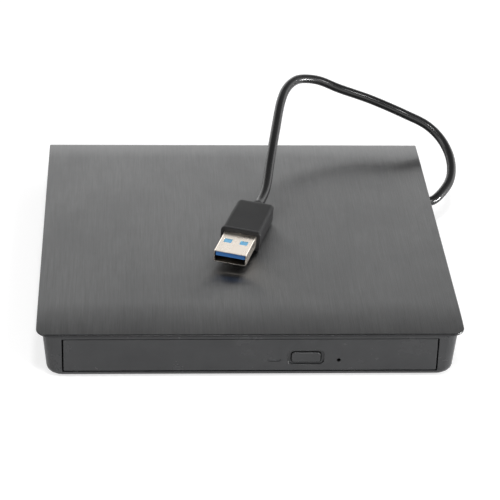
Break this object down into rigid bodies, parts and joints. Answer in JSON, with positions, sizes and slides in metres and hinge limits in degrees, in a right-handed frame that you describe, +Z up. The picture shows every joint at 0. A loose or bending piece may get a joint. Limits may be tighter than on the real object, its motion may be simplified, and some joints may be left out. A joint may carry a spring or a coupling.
{
  "type": "external disc drive",
  "caption": "Flat external disc drive: a tapered tub under a wide brushed lid, with a sliding disc drawer, its mechanism and a short captive lead with a plug.",
  "frame": {"origin": "on the table, under the middle of the case", "axes": "+X to the right seen from the drawer's front, +Y to the back, +Z up"},
  "size_m": [0.1612, 0.1621, 0.0435],
  "materials": {
    "brushed_lid": "brushed dark grey",
    "satin_black": "satin black",
    "rubber": "matt",
    "lead_black": "soft satin",
    "sheet_metal": "plated sheet",
    "steel": "bright",
    "plated_gold": "pale plating",
    "blue_plastic": "moulded",
    "circuit_board": "solder resist",
    "chip_black": "matt",
    "white_plastic": "natural",
    "winding": "enamelled wire",
    "clear_plastic": "clear"
  },
  "bodies": {
    "case": {"top_cover": "brushed_lid", "base_shell": "satin_black", "foot_front_left": "rubber", "foot_front_right": "rubber", "foot_rear_left": "rubber", "foot_rear_right": "rubber", "case_screw_left": "steel", "case_screw_right": "steel", "drive_pan": "sheet_metal", "drive_cover": "sheet_metal", "rear_connector": "chip_black", "guide_left": "white_plastic", "guide_right": "white_plastic", "latch_post": "steel", "bridge_board": "circuit_board", "bridge_chip": "chip_black", "crystal_can": "steel", "bridge_socket": "chip_black", "cable_gland": "rubber", "inner_lead": "lead_black", "usb_cable": "lead_black", "plug_shell": "plated_gold", "plug_tongue": "blue_plastic", "plug_overmold": "lead_black", "ribbon_cable": "white_plastic"},
    "left_rail": {"rail_left": "steel"},
    "right_rail": {"rail_right": "steel"},
    "drawer": {"tray": "satin_black", "tray_bezel": "satin_black", "light_pipe": "clear_plastic", "front_board": "circuit_board", "eject_switch": "steel", "main_board": "circuit_board", "main_chip": "chip_black", "traverse_frame": "sheet_metal", "damper_1": "rubber", "damper_2": "rubber", "damper_3": "rubber", "guide_rod_left": "steel", "guide_rod_right": "steel", "spindle_stator": "winding", "feed_motor": "steel", "latch_solenoid": "winding", "eject_pusher": "white_plastic"},
    "button": {"eject_button": "satin_black"},
    "rotor": {"spindle_rotor": "steel", "turntable": "chip_black"},
    "jaw_one": {"clamp_jaw_1": "white_plastic"},
    "jaw_two": {"clamp_jaw_2": "white_plastic"},
    "jaw_three": {"clamp_jaw_3": "white_plastic"},
    "sled": {"pickup_sled": "sheet_metal", "feed_nut": "white_plastic"},
    "lens": {"lens_holder": "chip_black", "objective_lens": "clear_plastic"},
    "screw": {"lead_screw": "steel"},
    "latch": {"latch_lever": "white_plastic"},
    "plunger": {"solenoid_plunger": "steel"}
  },
  "joints": [
    {"name": "tray_slide", "type": "slide", "parent": "case", "child": "drawer", "axis": [0, -1, 0], "range_m": [0, 0.124], "deforming": ["ribbon_cable"]},
    {"name": "left_rail_slide", "type": "slide", "parent": "case", "child": "left_rail", "axis": [0, -1, 0], "range_m": [0, 0.062]},
    {"name": "right_rail_slide", "type": "slide", "parent": "case", "child": "right_rail", "axis": [0, -1, 0], "range_m": [0, 0.062]},
    {"name": "eject_button_press", "type": "slide", "parent": "drawer", "child": "button", "axis": [0, 1, 0], "range_m": [0, 0.0008], "stiffness_N_per_m": 200},
    {"name": "spindle_spin", "type": "hinge", "parent": "drawer", "child": "rotor", "pos_m": [0, -0.0076, 0.01], "axis": [0, 0, 1], "continuous": true},
    {"name": "jaw_one_slide", "type": "slide", "parent": "rotor", "child": "jaw_one", "axis": [-0.6691, -0.7431, 0], "range_m": [0, 0.0006], "stiffness_N_per_m": 100},
    {"name": "jaw_two_slide", "type": "slide", "parent": "rotor", "child": "jaw_two", "axis": [0.9781, -0.2079, 0], "range_m": [0, 0.0006], "stiffness_N_per_m": 100},
    {"name": "jaw_three_slide", "type": "slide", "parent": "rotor", "child": "jaw_three", "axis": [-0.309, 0.9511, 0], "range_m": [0, 0.0006], "stiffness_N_per_m": 100},
    {"name": "sled_slide", "type": "slide", "parent": "drawer", "child": "sled", "axis": [0.6691, 0.7431, 0], "range_m": [0, 0.032]},
    {"name": "lens_focus", "type": "slide", "parent": "sled", "child": "lens", "axis": [0, 0, 1], "range_m": [-0.0004, 0.0004], "stiffness_N_per_m": 30},
    {"name": "lead_screw_spin", "type": "hinge", "parent": "drawer", "child": "screw", "pos_m": [-0.0133, 0.00438, 0.0066], "axis": [0.6691, 0.7431, 0], "continuous": true},
    {"name": "latch_swing", "type": "hinge", "parent": "drawer", "child": "latch", "pos_m": [0.0032, 0.0375, 0.0058], "axis": [0, 0, -1], "range_deg": [0, 16]},
    {"name": "plunger_slide", "type": "slide", "parent": "drawer", "child": "plunger", "axis": [0, 1, 0], "range_m": [0, 0.00151], "stiffness_N_per_m": 40}
  ],
  "couplings": [
    {"joint": "left_rail_slide", "follows": "tray_slide", "ratio": 0.5},
    {"joint": "right_rail_slide", "follows": "tray_slide", "ratio": 0.5},
    {"joint": "lead_screw_spin", "follows": "sled_slide", "rad_per_m": 2094.4},
    {"joint": "latch_swing", "follows": "plunger_slide", "rad_per_m": 138.89}
  ]
}
